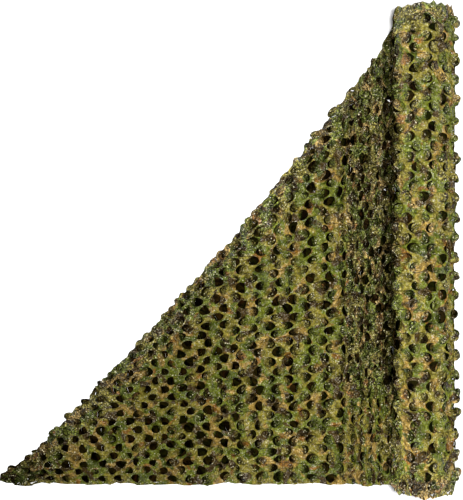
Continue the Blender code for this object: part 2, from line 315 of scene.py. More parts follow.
def edge_lobes(u, v, size, seed):
    """How far the cut edge bulges out between its open tongues, at places near it."""
    column = u / COLUMN_PITCH
    each = 0.6 + 0.4 * hashed(np.floor(column + 0.5), np.zeros_like(column), seed)
    lobe = (1 - 2 * np.abs(column - np.floor(column + 0.5))) ** 1.3
    near = falling(np.minimum(v, NET_WIDTH - v), 0, 0.016)
    return size * each * lobe * near * np.sign(v - NET_HALF)


def upper_height(u, v, x, y, inside):
    """Height of the upper layer's cloth with its small unevenness."""
    crumple = crumple_amount(x, y, inside)
    middling, small = 0.0042 + 0.0040 * crumple, 0.0020 + 0.0022 * crumple
    rough = rumples(u, v, ((0.0042, 0.075, 5), (middling, 0.034, 6), (small, 0.017, 15)))
    pleats = np.sin(2 * math.pi * (x / 0.0165 + 1.3 * ripple(x, y, 0.07, 8)))
    rough += 0.0080 * gathered(x, y) * pleats
    return top_height(x, y, np.maximum(inside, 0)) + rough * rising(inside, -0.006, 0.014)


def near_edge_wave(x):
    """How far the loose end's near edge wanders in and out, more so at its tip."""
    broad = 0.0050 + 0.0050 * falling(x - TIP_X, 0.10, 0.20)
    return rumples(x, 0 * x, ((broad, 0.055, 74), (0.0030, 0.022, 75)))


def loose_y(u, v, x, share):
    """Where places of the loose cloth lie across the plan, at a share of the net's full width."""
    y = EDGE_Y + v * share + edge_lobes(u, v, CUT_LOBE, 71)
    return y + near_edge_wave(x) * falling(v, 0, NEAR_EDGE_REACH)


def loose_surface(u, v):
    """Carries points of the cut net onto the loose end, round its fold."""
    reach = np.interp(u, CLOTH_AT_REACH, REACH_STEPS) + np.minimum(u, 0)
    x = TIP_X + reach
    y = loose_y(u, v, x, read_table(WIDTH_SHARES, reach))
    unfolded = inside_fold(x, y) + fold_lobes(x, y)
    unfolded += rumples(u, v, FOLD_WANDER)
    past = BEND_RADIUS - unfolded
    turned = np.clip(past / BEND_RADIUS, 0, math.pi)
    under = np.maximum(past - math.pi * BEND_RADIUS, 0) * UNDER_STRETCH
    inside = np.where(past > 0, BEND_RADIUS * (1 - np.sin(turned)) + under, unfolded)
    shift = inside - unfolded
    x = x + shift * CHORD_INWARDS[0]
    y = y + shift * CHORD_INWARDS[1]
    z_top = upper_height(u, v, x, y, inside)
    z_under = UNDER_HEIGHT + 0.0010 * ripple(u, v, 0.06, 7)
    middle, half = (z_top + z_under) / 2, (z_top - z_under) / 2
    z = middle + half * np.cos(turned)
    return stacked(x, y, z)


# ---- the surface of the roll ----

TURN_STEPS = np.linspace(0, TURNS, 2000)
TURN_RADII = ROLL_RADIUS - TURN_THICKNESS * TURN_STEPS
CLOTH_AT_TURN = np.concatenate(
    ([0], np.cumsum(2 * math.pi * np.diff(TURN_STEPS) * (TURN_RADII[1:] + TURN_RADII[:-1]) / 2))
)
ROLL_START = LOOSE_LENGTH + HANG_LENGTH


def turn_of(u):
    """How many turns in from where it leaves the roll each place of the net lies."""
    return np.interp(u - ROLL_START, CLOTH_AT_TURN, TURN_STEPS)


def level_share(v):
    """1 where the cloth comes level up to the roll's side, 0 where it is pulled in under it."""
    return smooth_step((LEVEL_FROM_V - v) / LEVEL_OVER)


def leaves_at(v):
    """The angle at which the cloth leaves the roll."""
    return LEAVES_LOW + (LEAVES_HIGH - LEAVES_LOW) * level_share(v)


def roll_angle(turn, v):
    """Where round the roll a place of the net lies, anticlockwise from +x."""
    settle = falling(turn, 0, 0.22)
    return LEAVES_AT - 2 * math.pi * turn + (leaves_at(v) - LEAVES_AT) * settle


def end_reach(turn, angle):
    """How much further out than a plain roll's the edge of the wound cloth lies."""
    ragged = 0.005 * ripple(turn * 3, angle, 0.4, 73)
    return ragged - 0.003 * np.cos(angle) ** 2 - 0.009 * rising(turn, 0.8, 0.3)


def roll_surface(u, v):
    """Carries points of the net onto the wound turns."""
    turn = turn_of(u)
    angle = roll_angle(turn, v)
    below = smooth_step(-np.sin(angle) * 1.4 - 0.3)
    y = EDGE_Y + v + edge_lobes(u, v, ROLL_CUT_LOBE, 72)
    past_end = np.abs(v - NET_HALF) - NET_HALF
    edge = rising(past_end, -0.12, 0.12)
    y = np.where(y > 0, y - 0.010 * edge, y - 0.002 * edge)
    y += np.sign(v - NET_HALF) * edge * end_reach(turn, angle)
    radius = ROLL_RADIUS - TURN_THICKNESS * turn + 0.004 * below
    radius -= 0.006 * rising(turn, 0.85, 0.15)
    radius += rumples(u, v, ROLL_RUMPLES) * np.where(turn < 1, 1 - 0.8 * below, 0.5)
    radius -= 0.005 * rising(past_end, -0.03, 0.03) ** 2
    x = radius * np.cos(angle)
    z = AXIS_HEIGHT + radius * np.sin(angle)
    return stacked(x, y, np.maximum(z, 0.0025))


def drawn_in(y, z):
    """How far the near edge is drawn in where the cloth rises to the roll."""
    return 0.22 * np.maximum(z - 0.022, 0) * near_ramp(y)


def hanging_surface(u, v):
    """Carries points of the net onto the curve from the loose end up to the roll."""
    share = np.clip((u - LOOSE_LENGTH) / HANG_LENGTH, 0, 1)
    x = np.full_like(u, JOIN_X)
    y = loose_y(u, v, x, WIDTH_SHARES[-1][1])
    inside = inside_fold(x, y)
    z = upper_height(np.full_like(u, LOOSE_LENGTH), v, x, y, inside)
    low = stacked(x, y + drawn_in(y, z), z)
    high = roll_surface(np.full_like(u, ROLL_START), v)
    angle = leaves_at(v)
    level = level_share(v)
    low_pull = stacked(0.03 + 0.07 * level, np.zeros_like(u), -0.13 + 0.17 * level)
    high_pull = 0.13 * stacked(np.sin(angle), np.zeros_like(u), -np.cos(angle))
    t = share[..., None]
    point = (
        (2 * t**3 - 3 * t**2 + 1) * low + (t**3 - 2 * t**2 + t) * low_pull
        + (3 * t**2 - 2 * t**3) * high + (t**3 - t**2) * high_pull
    )
    rough = 0.0035 * ripple(u, v, 0.036, 14) * smooth_step(share * 4) * smooth_step((1 - share) * 4)
    point[..., 0] += rough
    point[..., 2] = np.maximum(point[..., 2] + rough, 0.0085)
    return point


def net_surface(u, v):
    """The whole net: the loose end, the cloth up to the roll, and the roll."""
    wander_u, wander_v = rumples(u, v, WANDER_U), rumples(u, v, WANDER_V)
    inland = rising(np.minimum(v, NET_WIDTH - v), 0, 0.03)
    u = u + wander_u
    v = v + wander_v * inland
    loose = loose_surface(u, v)
    loose[..., 1] += drawn_in(loose[..., 1], loose[..., 2])
    on_loose_end = (u <= LOOSE_LENGTH)[..., None]
    on_roll = (u >= ROLL_START)[..., None]
    return np.where(
        on_loose_end, loose, np.where(on_roll, roll_surface(u, v), hanging_surface(u, v))
    )


# ---- one cell of the net, flat ----

class Cell(NamedTuple):
    """A cell's points in its own plane, and its faces. Tongue points come last."""

    strand: np.ndarray
    own: np.ndarray  # how far each turns and grows with the cell's own tongue, 0 to 1
    rim: np.ndarray  # 1 on the cut edge, 0 away from it
    tongue: np.ndarray
    faces: list  # with tongue points numbered on from the strand's


def cell_outline():
    """The cell is a diamond, whose corners are midway between the tongues of a row or column."""
    corners = np.array([(1, 0), (0, 1), (-1, 0), (0, -1)]) * (COLUMN_PITCH, ROW_PITCH / 2)
    sides = zip(corners, np.roll(corners, -1, axis=0), SIDES)
    return np.concatenate([a + (b - a) * (np.arange(n)[:, None] / n) for a, b, n in sides])


ROUND = sum(SIDES)
CUT_END = ROUND - HINGE_SEGMENTS  # where the cut runs on into the next cell


def circle_angles():
    """Angles of the tongue's outline, with the hinge about angle 0."""
    cut = np.linspace(HINGE_ANGLE, 2 * math.pi - HINGE_ANGLE, CUT_END - HINGE_SEGMENTS + 1)
    hinge = np.linspace(0, HINGE_ANGLE, HINGE_SEGMENTS + 1)
    return np.concatenate([hinge[:-1], cut, -hinge[:0:-1][1:]])


def make_cell(stretch, slit_half):
    """The cell whose tongue hinges on the side towards +u.

    Its cut runs round the tongue and on through the cell's side, where it joins the next cell's.
    """
    outline = cell_outline()
    angles = circle_angles()
    circle = TONGUE_RADIUS * stacked(np.cos(angles), np.sin(angles))
    hole = circle.copy()
    away = np.clip(-np.cos(angles), 0, 1)
    hole[:, 0] *= 1 + (stretch - 1) * away**0.5
    middle = outline * 0.45 + hole * 0.55
    strand = np.concatenate([outline, middle, hole])
    rim = np.concatenate([np.zeros(2 * ROUND), np.ones(ROUND)])
    own = np.repeat([0.0, 0.55, 1.0], ROUND)
    # The cut through the strand splits one spoke of points in two.
    spoke = [CUT_END, ROUND + CUT_END, 2 * ROUND + CUT_END]
    line = strand[spoke[0]] - strand[spoke[2]]
    across = np.array((-line[1], line[0])) / np.hypot(*line) * slit_half
    below = strand[spoke] - across
    strand[spoke] += across
    rim[spoke] = 1
    first_below = len(strand)
    strand = np.concatenate([strand, below])
    rim, own = np.append(rim, rim[spoke]), np.append(own, own[spoke])
    faces = []
    for level in range(2):
        for k in range(ROUND):
            after = (k + 1) % ROUND
            quad = [level * ROUND + k, level * ROUND + after]
            quad += [quad[1] + ROUND, quad[0] + ROUND]
            if after == CUT_END:
                quad[1], quad[2] = first_below + level, first_below + level + 1
            faces.append(quad)
    # The tongue has its own points along the cut, a ring of half as many inside, and its middle.
    free, even = range(HINGE_SEGMENTS + 1, CUT_END), range(0, ROUND, 2)
    tongue = np.concatenate([circle[free], circle[even] * 0.55, [(0, 0)]])
    first = len(strand)
    edge = {k: 2 * ROUND + k for k in range(ROUND)}
    edge.update((k, first + n) for n, k in enumerate(free))
    ring = {k: first + len(free) + n for n, k in enumerate(even)}
    centre = first + len(tongue) - 1
    for k in even:
        after = (k + 2) % ROUND
        faces.append((edge[k], edge[k + 1], ring[k]))
        faces.append((edge[k + 1], edge[after], ring[after], ring[k]))
        faces.append((ring[k], ring[after], centre))
    return Cell(strand, own, rim, tongue, faces)


OPEN_CELL = make_cell(HOLE_STRETCH, SLIT_HALF)
CLOSED_CELL = make_cell(1.0, 0.0002)  # of the cloth that lies pressed between other layers
HINGE_OFFSET = TONGUE_RADIUS * math.cos(HINGE_ANGLE)
TONGUE_LENGTH = TONGUE_RADIUS + HINGE_OFFSET


def plain_cell():
    """A cell with no tongue cut, for cloth that is never seen."""
    outline = cell_outline()
    count = len(outline)
    faces = [(k, (k + 1) % count, count) for k in range(count)]
    points = np.concatenate([outline, [(0, 0)]])
    return Cell(points, np.zeros(len(points)), np.zeros(len(points)), np.zeros((0, 2)), faces)


PLAIN_CELL = plain_cell()


class Lattice(NamedTuple):
    """The cells of one piece: where their middles lie on the flat net, and how they are cut."""

    column: np.ndarray
    row: np.ndarray
    u: np.ndarray
    v: np.ndarray
    hinge: np.ndarray  # +1 where the tongue hinges towards +u, -1 where towards -u
    turned: np.ndarray  # radians, how far the tongue's hinge is turned from that
    size: np.ndarray  # of the tongue and its hole, as a share of the usual
    lean: np.ndarray  # of the hole's rim out of the cloth: all round, along u and along v


def lattice(first_u, last_u):
    """The cells whose middles lie between two places along the net."""
    columns = np.arange(math.ceil(first_u / COLUMN_PITCH), math.ceil(last_u / COLUMN_PITCH))
    rows = np.arange(-1, round(NET_WIDTH / ROW_PITCH) + 1)
    column, row = (grid.ravel() for grid in np.meshgrid(columns, rows, indexing="ij"))
    odd = column % 2
    u = column * COLUMN_PITCH
    v = FIRST_ROW + (row + odd / 2) * ROW_PITCH
    turned = 0.45 * hashed(column, row, 61)
    size = 0.96 + 0.07 * hashed(column, row, 62) - 0.12 * falling(u, 0.5, 0.25)
    lean = stacked(*(hashed(column, row, seed) for seed in (63, 64, 65)))
    lean = lean * (0.0020, 0.0042, 0.0042) - (0.0030, 0, 0)
    return Lattice(column, row, u, v, 1 - 2 * odd, turned, size, lean)


def pressed(cells):
    """The same cells with level, unturned tongues, for cloth that lies pressed between layers."""
    zero = np.zeros_like(cells.turned)
    return cells._replace(turned=zero, size=zero + 1, lean=np.zeros_like(cells.lean))


def chosen(rows, which):
    """Some of the cells, or of the tongues of a lift."""
    return type(rows)(*(values[which] for values in rows))


# ---- how the tongues lie ----

class Lift(NamedTuple):
    """For each tongue: its slope at the hinge, how much it curls, and how it twists and cups."""

    slope: np.ndarray  # radians, up from the cloth
    curl: np.ndarray  # radians, from hinge to free edge
    twist: np.ndarray
    cup: np.ndarray


def swing(cells, seed):
    """A repeatable number from -1 to 1 for each cell."""
    return hashed(cells.column, cells.row, seed)


def chance(cells, seed):
    """The same, from 0 to 1."""
    return 0.5 + 0.5 * swing(cells, seed)


class Manner(NamedTuple):
    """A way for tongues to lie: a Lift's values, and how far each varies from tongue to tongue."""

    seed: int  # of the first of its four random numbers
    slope: float
    slope_varies: float
    curl: float
    curl_varies: float
    twist_varies: float
    cup: float
    cup_varies: float


# Almost in the cloth
LYING = Manner(31, 0.0, 0.12, 0.0, 0.1, 0.1, 0.05, 0.05)
# Bulging up from the cloth, so that a dark crescent shows past the free edge
RAISED = Manner(21, 0.50, 0.25, -1.15, 0.40, 0.35, 0.16, 0.15)
# Standing up nearly flat, with a crisp free edge over a dark crescent
HALF_OPEN = Manner(81, 0.80, 0.35, -0.25, 0.45, 0.45, 0.10, 0.20)
# Sagging below the cloth, in shade past the hole's edge
SUNKEN = Manner(35, -0.10, 0.25, -0.90, 0.45, 0.40, 0.06, 0.15)
# Folded back under the cloth, which leaves a round hole
TUCKED = Manner(25, -1.30, 0.2, -1.45, 0.3, 0.2, 0.1, 0.1)
# Bent every way
CRUMPLED = Manner(41, 0.2, 1.2, 0.0, 1.1, 0.7, 0.0, 0.25)
# Standing off the bend of the fold, like leaves
WRAPPED = Manner(45, 0.42, 0.40, -0.65, 0.50, 0.4, 0.0, 0.2)


def lifted(cells, manner, **other):
    """The cells' tongues lying in this manner, with any other values given."""
    manner = manner._replace(**other)
    slope, curl, twist, cup = (swing(cells, manner.seed + k) for k in range(4))
    return Lift(
        manner.slope + manner.slope_varies * slope, manner.curl + manner.curl_varies * curl,
        manner.twist_varies * twist, manner.cup + manner.cup_varies * cup,
    )


def blended(first, second, share):
    return Lift(*(a + (b - a) * share for a, b in zip(first, second)))


def picked(first, second, takes_second):
    return Lift(*(np.where(takes_second, b, a) for a, b in zip(first, second)))


def standing_or_sunken(cells, lift, share):
    """A share of the tongues half open or sunken, in place of those given."""
    lift = picked(lift, lifted(cells, HALF_OPEN), chance(cells, 54) < 0.62 * share)
    return picked(lift, lifted(cells, SUNKEN), chance(cells, 54) > 1 - 0.38 * share)


# ---- from flat net to a mesh ----

def clamped(points):
    """Points past the net's cut edges, moved onto them."""
    return np.clip(points, 0, (np.inf, NET_WIDTH))


def placed(cells, local, own=1.0):
    """A cell's points at every cell, turned and sized as each cell's tongue is."""
    angle = cells.turned[:, None] * own
    size = (1 + (cells.size[:, None] - 1) * own) * cells.hinge[:, None]
    u = cells.u[:, None] + size * (np.cos(angle) * local[:, 0] - np.sin(angle) * local[:, 1])
    v = cells.v[:, None] + size * (np.sin(angle) * local[:, 0] + np.cos(angle) * local[:, 1])
    return stacked(u, v).reshape(-1, 2)


def rim_lean(cells, local, own):
    """How far each of a cell's points stands out of the cloth as its hole's rim leans."""
    radius = np.hypot(local[:, 0], local[:, 1]) + 1e-9
    ways = np.stack([np.ones_like(radius), *(local.T / radius)])
    return ((cells.lean @ ways) * own**2).ravel()


FRAME_STEP = 0.003  # along the net, from which the cloth's directions are told


def frames(u, v, angle):
    """Unit vectors in the cloth at an angle from +u, and out of its face, at places on the net."""
    along = net_surface(u + FRAME_STEP, v) - net_surface(u - FRAME_STEP, v)
    across = net_surface(u, v + FRAME_STEP) - net_surface(u, v - FRAME_STEP)
    out = np.cross(along, across)
    out /= np.linalg.norm(out, axis=-1, keepdims=True)
    along /= np.linalg.norm(along, axis=-1, keepdims=True)
    across = np.cross(out, along)
    turned = along * np.cos(angle)[:, None] + across * np.sin(angle)[:, None]
    return turned, out


def tongue_places(cells, local, lift):
    """Where the tongues' points lie, each bent about its hinge, and how far out of the cloth."""
    count = len(local)
    flat = placed(cells, stacked(np.full(count, HINGE_OFFSET), local[:, 1]))
    base = net_surface(*flat.T)
    reach_out = HINGE_OFFSET * cells.hinge * cells.size
    hinge_u = cells.u + reach_out * np.cos(cells.turned)
    hinge_v = cells.v + reach_out * np.sin(cells.turned)
    along, out = frames(hinge_u, hinge_v, cells.turned)
    toward = -along * cells.hinge[:, None]
    size = np.repeat(cells.size, count)
    reach = np.tile(HINGE_OFFSET - local[:, 0], len(cells.u)) * size
    sideways = np.tile(local[:, 1], len(cells.u)) / TONGUE_RADIUS
    slope, curl, twist, cup = (np.repeat(values, count) for values in lift)
    bend = np.where(np.abs(curl) < 1e-3, 1e-3, curl) / (TONGUE_LENGTH * size)
    forward = (np.sin(slope + bend * reach) - np.sin(slope)) / bend
    up = (np.cos(slope) - np.cos(slope + bend * reach)) / bend
    share = reach / (TONGUE_LENGTH * size)
    up += TONGUE_RADIUS * (twist * sideways * share - cup * sideways**2 * smooth_step(share * 2))
    up += np.repeat(cells.lean[:, 0] + cells.lean[:, 1], count)
    toward, out = (np.repeat(vectors, count, axis=0) for vectors in (toward, out))
    return base + toward * forward[:, None] + out * up[:, None], up


def with_plain_edge(cells, cell, lift=None):
    """Groups for net_mesh: cells as cut, and uncut those that the net's own edge runs through."""
    margin = TONGUE_RADIUS + 0.002
    whole = (cells.v > margin) & (cells.v < NET_WIDTH - margin) & (cells.u > margin)
    lift = None if lift is None else chosen(lift, whole)
    return [(chosen(cells, whole), cell, lift), (chosen(cells, ~whole), PLAIN_CELL, None)]


def numbered(cell, count, strand_first, tongue_first):
    """A cell's faces, repeated with the numbers that its points have in each of the cells."""
    strands, tongues = len(cell.strand), len(cell.tongue)
    for k in range(count):
        on_strand = strand_first + k * strands
        on_tongue = tongue_first + k * tongues - strands
        for face in cell.faces:
            yield [i + (on_strand if i < strands else on_tongue) for i in face]


def net_mesh(name, groups, settle):
    """The mesh of groups of cells. Points that neighbouring cells share become one.

    Each group holds cells, how they are cut and how their tongues lie: flush, where that is None.
    """
    strand_total = sum(len(cells.u) * len(cell.strand) for cells, cell, _ in groups)
    strand_parts, tongue_parts, faces = [], [], []
    strand_first, tongue_first = 0, strand_total
    for cells, cell, lift in groups:
        count = len(cells.u)
        flat = clamped(placed(cells, cell.strand, cell.own))
        lean = rim_lean(cells, cell.strand, cell.own)
        strand_parts.append((flat, lean, np.tile(cell.rim, count)))
        faces += numbered(cell, count, strand_first, tongue_first)
        if len(cell.tongue):
            flat = placed(cells, cell.tongue)
            if lift is None:
                points, stands = net_surface(*flat.T), np.zeros(len(flat))
            else:
                points, stands = tongue_places(cells, cell.tongue, lift)
            outward = np.tile((HINGE_OFFSET - cell.tongue[:, 0]) / TONGUE_LENGTH, count)
            tongue_parts.append((flat, points, stands, outward, np.zeros(len(flat))))
        strand_first += count * len(cell.strand)
        tongue_first += count * len(cell.tongue)
    flat, stands, rim = (np.concatenate(parts) for parts in zip(*strand_parts))
    keys = np.round(flat * 2e5).astype(np.int64)
    _, first, index = np.unique(keys, axis=0, return_index=True, return_inverse=True)
    flat, stands, rim = flat[first], stands[first], rim[first]
    points = net_surface(*flat.T)
    points += frames(*flat.T, 0 * flat[:, 0])[1] * stands[:, None]
    remap = np.concatenate([index.reshape(-1), np.arange(tongue_first - strand_total) + len(first)])
    parts = zip((flat, points, stands, np.zeros_like(rim), rim), *tongue_parts)
    flat, points, stands, outward, rim = (np.concatenate(values) for values in parts)
    points = settle(points)
    looks = looks_at(points, stands, outward, rim)
    points[:, 0] += AXIS_X
    return add_mesh(name, points, whole_faces(faces, remap, flat), flat, looks)


def looks_at(points, stands, outward, rim):
    """What the material reads at each point: cut edges, painted light and shade, and fine creases.
    """
    # Painted shade: tongues, more so towards their free edges, and points sunk below the cloth are
    # painted darker.
    on_tongue = np.minimum(2.2 * outward, 1)
    tongue_shade = np.where(points[:, 0] < ROLL_SIDE_X, TONGUE_PAINTED_SHADE, ROLL_TONGUE_PAINTED_SHADE)
    painted_light = 1 - HOLE_PAINTED_SHADE * np.clip(-stands / HOLE_DEPTH, 0, 1)
    painted_light = painted_light * light_paint_factor(points)
    painted_light *= 1 - tongue_shade * on_tongue - FREE_EDGE_PAINTED_SHADE * outward * tongue_shade / TONGUE_PAINTED_SHADE
    fine = np.maximum(creased(points), 0.85 * on_tongue)
    return {"cut_edge": rim, "painted_light": painted_light, "creased": fine}


def whole_faces(faces, remap, flat):
    """The faces with shared points made one, without those that the net's edge cuts off."""
    result = []
    for face in faces:
        corners = [int(remap[i]) for i in face]
        corners = [c for k, c in enumerate(corners) if c != corners[k - 1]]
        if len(set(corners)) < 3:
            continue
        at = flat[corners]
        area = np.sum(at[:, 0] * np.roll(at[:, 1], -1) - at[:, 1] * np.roll(at[:, 0], -1)) / 2
        if area > 1e-8:
            result.append(corners)
    return result


def add_object(name, data):
    item = bpy.data.objects.new(name, data)
    bpy.context.scene.collection.objects.link(item)
    return item


def add_mesh(name, points, faces, flat, looks):
    """A piece with its place on the flat net as a UV map, and its looks as attributes."""
    mesh = bpy.data.meshes.new(name)
    mesh.from_pydata(points.tolist(), [], faces)
    loops = np.empty(len(mesh.loops), np.int32)
    mesh.loops.foreach_get("vertex_index", loops)
    cloth = mesh.uv_layers.new(name="cloth")
    cloth.uv.foreach_set("vector", flat[loops].astype(np.float32).ravel())
    for label, values in looks.items():
        attribute = mesh.attributes.new(label, "FLOAT", "POINT")
        attribute.data.foreach_set("value", np.asarray(values, np.float32))
    mesh.shade_smooth()
    return add_object(name, mesh)


# ---- the pieces ----

AXIS_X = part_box("loose_end")[1][0] - (LIFT_OFF_X - ROLL_GAP)


def plan_of(cells):
    """Where cells of the loose end lie in plan before the fold, and how far inside the fold."""
    reach = np.interp(cells.u, CLOTH_AT_REACH, REACH_STEPS)
    x = TIP_X + reach + 0.3 * np.maximum(cells.u - LOOSE_LENGTH, 0)
    y = EDGE_Y + cells.v * read_table(WIDTH_SHARES, reach)
    return x, y, inside_fold(x, y)


LAST_INSIDE = BEND_RADIUS * (1 - math.pi) - 0.026  # of the upper layer's cells, past the bend


def cloth_at(turn):
    """How far along the net a given turn of the roll begins."""
    return ROLL_START + float(np.interp(turn, TURN_STEPS, CLOTH_AT_TURN))


def upper_layer():
    """The loose end's upper layer, with the bend at its fold and the cloth up to the roll."""
    cells = lattice(-COLUMN_PITCH, ROLL_START)
    _, _, inside = plan_of(cells)
    hanging = cells.u > LOOSE_LENGTH
    cells = chosen(cells, np.where(hanging, inside > -0.010, inside > LAST_INSIDE))
    x, y, inside = plan_of(cells)
    crumpled, tucked = lifted(cells, CRUMPLED), lifted(cells, TUCKED)
    tuck_share = 0.68 - 0.63 * rising(x, -0.74, 0.22)
    lift = standing_or_sunken(cells, lifted(cells, RAISED), 0.80)
    lift = picked(lift, tucked, chance(cells, 51) < tuck_share)
    crumple = crumple_amount(x, y, inside)
    lift = picked(lift, crumpled, chance(cells, 52) < 0.9 * crumple)
    in_band = lifted(cells, CRUMPLED, slope=0.25, slope_varies=0.6)
    lift = picked(lift, in_band, gathered(x, y) > 0.5)
    over_bend = falling(inside, 0.024, 0.020)
    lift = blended(lift, lifted(cells, WRAPPED), over_bend * (cells.hinge > 0))
    facing_in = lifted(cells, LYING, slope=0.45, slope_varies=0.40)
    lift = blended(lift, facing_in, over_bend * (cells.hinge < 0))
    to_roll = rising(cells.u, LOOSE_LENGTH, 0.02) * (1 - near_ramp(y))
    lift = blended(lift, picked(crumpled, tucked, chance(cells, 55) < 0.45), to_roll)
    # Under the fold a raised tongue would stand out past it, like a horn.
    under_fold = inside < np.where(cells.hinge > 0, -0.013, 0.003)
    closed = under_fold | ((to_roll > 0) & (inside < 0.05))
    groups = with_plain_edge(chosen(cells, ~closed), OPEN_CELL, chosen(lift, ~closed))
    groups += with_plain_edge(pressed(chosen(cells, closed)), CLOSED_CELL)
    piece = net_mesh("loose_end_upper", groups, over_under_layer)
    return piece


def under_layer():
    """The corner of the loose end that is turned under."""
    cells = pressed(lattice(-COLUMN_PITCH, LOOSE_LENGTH))
    _, _, inside = plan_of(cells)
    cells = chosen(cells, inside <= LAST_INSIDE)
    places = net_surface(cells.u, cells.v)
    cells = chosen(cells, (places[:, 1] > EDGE_Y - 0.034) & (places[:, 0] < -0.075))
    piece = net_mesh("loose_end_under", with_plain_edge(cells, CLOSED_CELL), flat_down)
    return piece


def not_below(points, lowest):
    return stacked(*points[:, :2].T, np.maximum(points[:, 2], lowest))


def over_under_layer(points):
    """Keeps the upper layer's points above the under layer, and above the floor at the fold."""
    inside = inside_fold(*points[:, :2].T)
    return not_below(points, np.where(inside > 0.012, OVER_UNDER, FOLD_FLOOR))


def flat_down(points):
    """Keeps the turned-under corner inside the loose end's own edge, flat on the floor."""
    x, y, z = points.T
    y = np.maximum(y, EDGE_Y + near_edge_wave(x) + 0.001)
    return stacked(x, y, np.clip(z, FLOOR_GAP, UNDER_TOP))


def just_up(points):
    """Keeps the roll's points above the floor."""
    return not_below(points, FLOOR_GAP)


def outer_turn():
    """The roll's outer turn, whose tongues stand, bulge or lie as it turns them to the light."""
    cells = lattice(ROLL_START, cloth_at(1.0))
    turn = turn_of(cells.u)
    angle = roll_angle(turn, cells.v)
    below = smooth_step(-np.sin(angle) * 1.6 - 0.4)
    covered = rising(turn, 0.94, 0.04)
    looks_up = -cells.hinge * np.cos(angle)  # 1 where a raised tongue shows its face from above
    on_top = falling(np.abs(looks_up), 0.45, 0.3)
    standing = rising(looks_up, 0.45, 0.3)
    lift = lifted(
        cells, RAISED, slope=RAISED.slope + 0.90 * standing, curl=RAISED.curl + 0.70 * standing
    )
    lift = standing_or_sunken(cells, lift, 0.64 * on_top)
    lift = picked(lift, lifted(cells, CRUMPLED), chance(cells, 53) < 0.14)
    lift = picked(lift, lifted(cells, LYING, slope=-0.20), looks_up < -0.66)
    lying = lifted(cells, LYING)
    beyond = (np.cos(angle) < -0.5) & (cells.v > NET_WIDTH - 0.16)
    lift = picked(lift, lying, beyond)
    lift = blended(lift, lying, np.maximum(below, covered))
    piece = net_mesh("roll_outer_turn", with_plain_edge(cells, OPEN_CELL, lift), just_up)
    return piece


def second_turn():
    """The roll's second turn, whose tongues are pressed closed."""
    cells = pressed(lattice(cloth_at(1.0), cloth_at(2.0)))
    piece = net_mesh("roll_second_turn", with_plain_edge(cells, CLOSED_CELL), just_up)
    return piece


def inner_turns():
    """The other turns, with tongues at the roll's ends only, where they show."""
    cells = lattice(cloth_at(2.0), cloth_at(TURNS))
    at_end = np.abs(cells.v - NET_HALF) > NET_HALF - 0.10
    shown = chosen(cells, at_end)
    lift = lifted(shown, LYING, slope=0.15, slope_varies=0.2)
    groups = with_plain_edge(shown, CLOSED_CELL, lift)
    groups.append((chosen(cells, ~at_end), PLAIN_CELL, None))
    piece = net_mesh("roll_inner_turns", groups, just_up)
    return piece


# ---- materials ----

def feed(node, **values):
    """Sets a node's inputs by name or number, to a constant or to another node's output."""
    for name, value in values.items():
        socket = node.inputs[int(name[1:]) if name[1:].isdigit() else name.replace("_", " ")]
        if isinstance(value, bpy.types.NodeSocket):
            node.id_data.links.new(value, socket)
        else:
            socket.default_value = value


def add_node(tree, kind, settings=None, **inputs):
    """A node with its settings, and its inputs as feed sets them."""
    node = tree.nodes.new("ShaderNode" + kind)
    for name, value in (settings or {}).items():
        setattr(node, name, value)
    feed(node, **inputs)
    return node


def new_group(name, inputs, outputs):
    """A node group with sockets of these names and kinds."""
    tree = bpy.data.node_groups.new(name, "ShaderNodeTree")
    for way, sockets in (("INPUT", inputs), ("OUTPUT", outputs)):
        for socket, kind in sockets.items():
            tree.interface.new_socket(name=socket, in_out=way, socket_type="NodeSocket" + kind)
    return tree, tree.nodes.new("NodeGroupInput"), tree.nodes.new("NodeGroupOutput")


def worked_out(kind, operation, *values):
    """What a node of maths makes of its inputs. The first is another node's output."""
    inputs = {f"_{k}": value for k, value in enumerate(values)}
    return add_node(values[0].id_data, kind, {"operation": operation}, **inputs).outputs[0]


def multiplied(first, second):
    return worked_out("Math", "MULTIPLY", first, second)


def scaled(colour, by):
    scale = {"operation": "SCALE"}
    return add_node(colour.id_data, "VectorMath", scale, _0=colour, Scale=by).outputs[0]


def mixed(share, first, second):
    """The first colour where the share is 0, and the second where it is 1."""
    node = add_node(share.id_data, "Mix", {"data_type": "RGBA"}, _0=share, _6=first, _7=second)
    return node.outputs[2]


def between_one_and(value, share):
    """1 where the share is 0, and the value where it is 1."""
    return add_node(value.id_data, "Mix", _0=share, _2=1.0, _3=value).outputs[0]


def between(value, start, end):
    """0 up to the start and 1 from the end on, with a smooth slope between."""
    return add_node(
        value.id_data, "MapRange", {"interpolation_type": "SMOOTHSTEP"},
        Value=value, From_Min=start, From_Max=end,
    ).outputs[0]


def ranged(value, low, high, start=0.0, end=1.0):
    """From low to high as the value goes from start to end."""
    return add_node(
        value.id_data, "MapRange", Value=value, From_Min=start, From_Max=end,
        To_Min=low, To_Max=high,
    ).outputs[0]


def noise_at(place, scale, detail, shift):
    """A noise texture's value over the cloth, with its own shift so that no two are alike."""
    moved = worked_out("VectorMath", "ADD", place, (shift, shift * 1.7, shift * 0.6))
    return add_node(
        place.id_data, "TexNoise", Vector=moved, Scale=scale, Detail=detail, Roughness=0.55
    ).outputs["Fac"]


def pushed_about(place, scale, detail, reach):
    """Places moved by a noise, so that what is drawn there has ragged outlines."""
    push = add_node(place.id_data, "TexNoise", Vector=place, Scale=scale, Detail=detail)
    return worked_out(
        "VectorMath", "MULTIPLY_ADD", push.outputs["Color"], (reach, reach, 0), place
    )


def specks(place, scale):
    """Small cells: how far each place is from its cell's middle, and the cell's random numbers."""
    cells = add_node(place.id_data, "TexVoronoi", Vector=place, Scale=scale)
    numbers = add_node(place.id_data, "SeparateColor", Color=cells.outputs["Color"])
    return cells.outputs["Distance"], numbers.outputs


